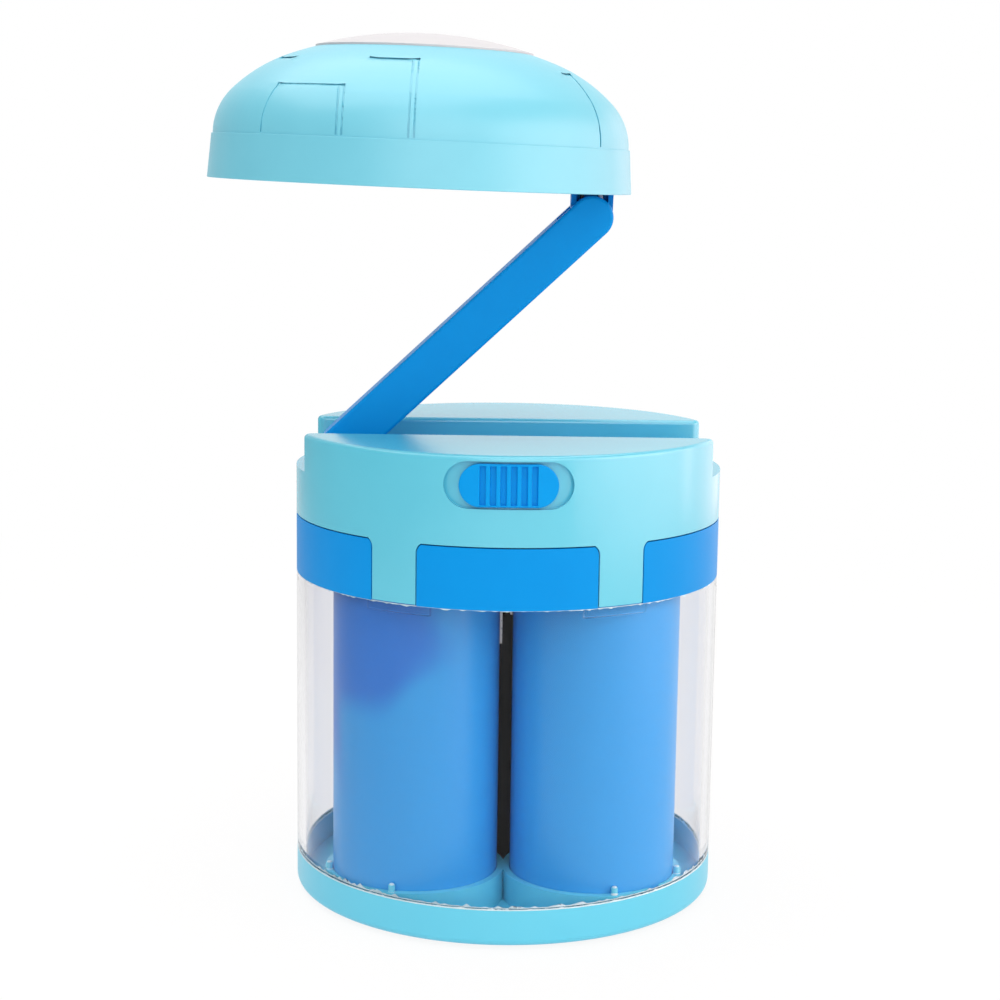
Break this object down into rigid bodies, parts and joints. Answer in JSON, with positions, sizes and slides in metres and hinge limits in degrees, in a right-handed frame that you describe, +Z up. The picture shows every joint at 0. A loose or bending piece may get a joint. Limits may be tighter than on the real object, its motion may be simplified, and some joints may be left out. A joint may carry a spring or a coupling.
{
  "type": "folding battery lamp",
  "caption": "Folding battery lamp: a dome lamp head on a flat arm that folds into a channel across a round base with a slide switch and a clear battery drum.",
  "frame": {"origin": "centre of the round base, on the surface that the foot pad stands on", "axes": "+Z up; +X from the arm's lower hinge towards the other end of the arm channel; -Y is the switch side"},
  "size_m": [0.1204, 0.1005, 0.2011],
  "materials": {
    "light_blue_plastic": "moulded, semi-gloss",
    "blue_plastic": "moulded, semi-gloss",
    "clear_plastic": "moulded, clear",
    "tinted_plastic": "moulded, tinted blue",
    "white_plastic": "moulded, satin",
    "black_plastic": "moulded, satin",
    "frosted_lens": "moulded, frosted",
    "foot_rubber": "matt",
    "cell_can": "printed metal can",
    "spring_steel": "plated",
    "washer_nylon": "cut sheet",
    "board_white": "solder mask",
    "chip_yellow": "cast resin",
    "lead_white": "extruded",
    "lead_black": "extruded"
  },
  "bodies": {
    "base": {"base_tray": "light_blue_plastic", "foot_pad": "foot_rubber", "clear_drum": "clear_plastic", "battery_tube_front_left": "tinted_plastic", "battery_tube_front_right": "tinted_plastic", "battery_tube_rear_left": "tinted_plastic", "battery_tube_rear_right": "tinted_plastic", "battery_cells": "cell_can", "battery_leaf_springs": "spring_steel", "upper_contacts": "spring_steel", "core_duct": "black_plastic", "contact_strips": "spring_steel", "inner_frame": "blue_plastic", "top_shell": "light_blue_plastic", "shell_screws": "spring_steel", "switch_body": "black_plastic", "base_hinge_pin": "spring_steel", "hinge_spacers": "blue_plastic", "base_friction_washers": "washer_nylon"},
    "arm": {"arm_front_half": "blue_plastic", "arm_rear_half": "blue_plastic", "arm_screws": "spring_steel", "head_hinge_pin": "spring_steel", "head_friction_washers": "washer_nylon"},
    "head": {"dome_shell": "light_blue_plastic", "top_cap": "white_plastic", "head_bracket": "blue_plastic", "lamp_plate": "white_plastic", "lamp_lens": "frosted_lens", "light_board": "board_white", "light_chips": "chip_yellow", "bracket_screws": "spring_steel", "plate_screws": "spring_steel", "white_lead": "lead_white", "black_lead": "lead_black"},
    "switch": {"switch_knob": "blue_plastic"}
  },
  "joints": [
    {"name": "arm_fold", "type": "hinge", "parent": "base", "child": "arm", "pos_m": [-0.04, 0, 0.1053], "axis": [0, 1, 0], "range_deg": [-46.9, 43.1]},
    {"name": "head_fold", "type": "hinge", "parent": "arm", "child": "head", "pos_m": [0.01841, 0, 0.15996], "axis": [0, 1, 0], "range_deg": [-44.9, 48.8]},
    {"name": "switch_slide", "type": "hinge", "parent": "base", "child": "switch", "pos_m": [0, 0, 0.1041], "axis": [0, 0, 1], "range_deg": [-3.4, 3.4]}
  ],
  "couplings": [
    {"joint": "head_fold", "follows": "arm_fold", "ratio": -1.0394}
  ]
}
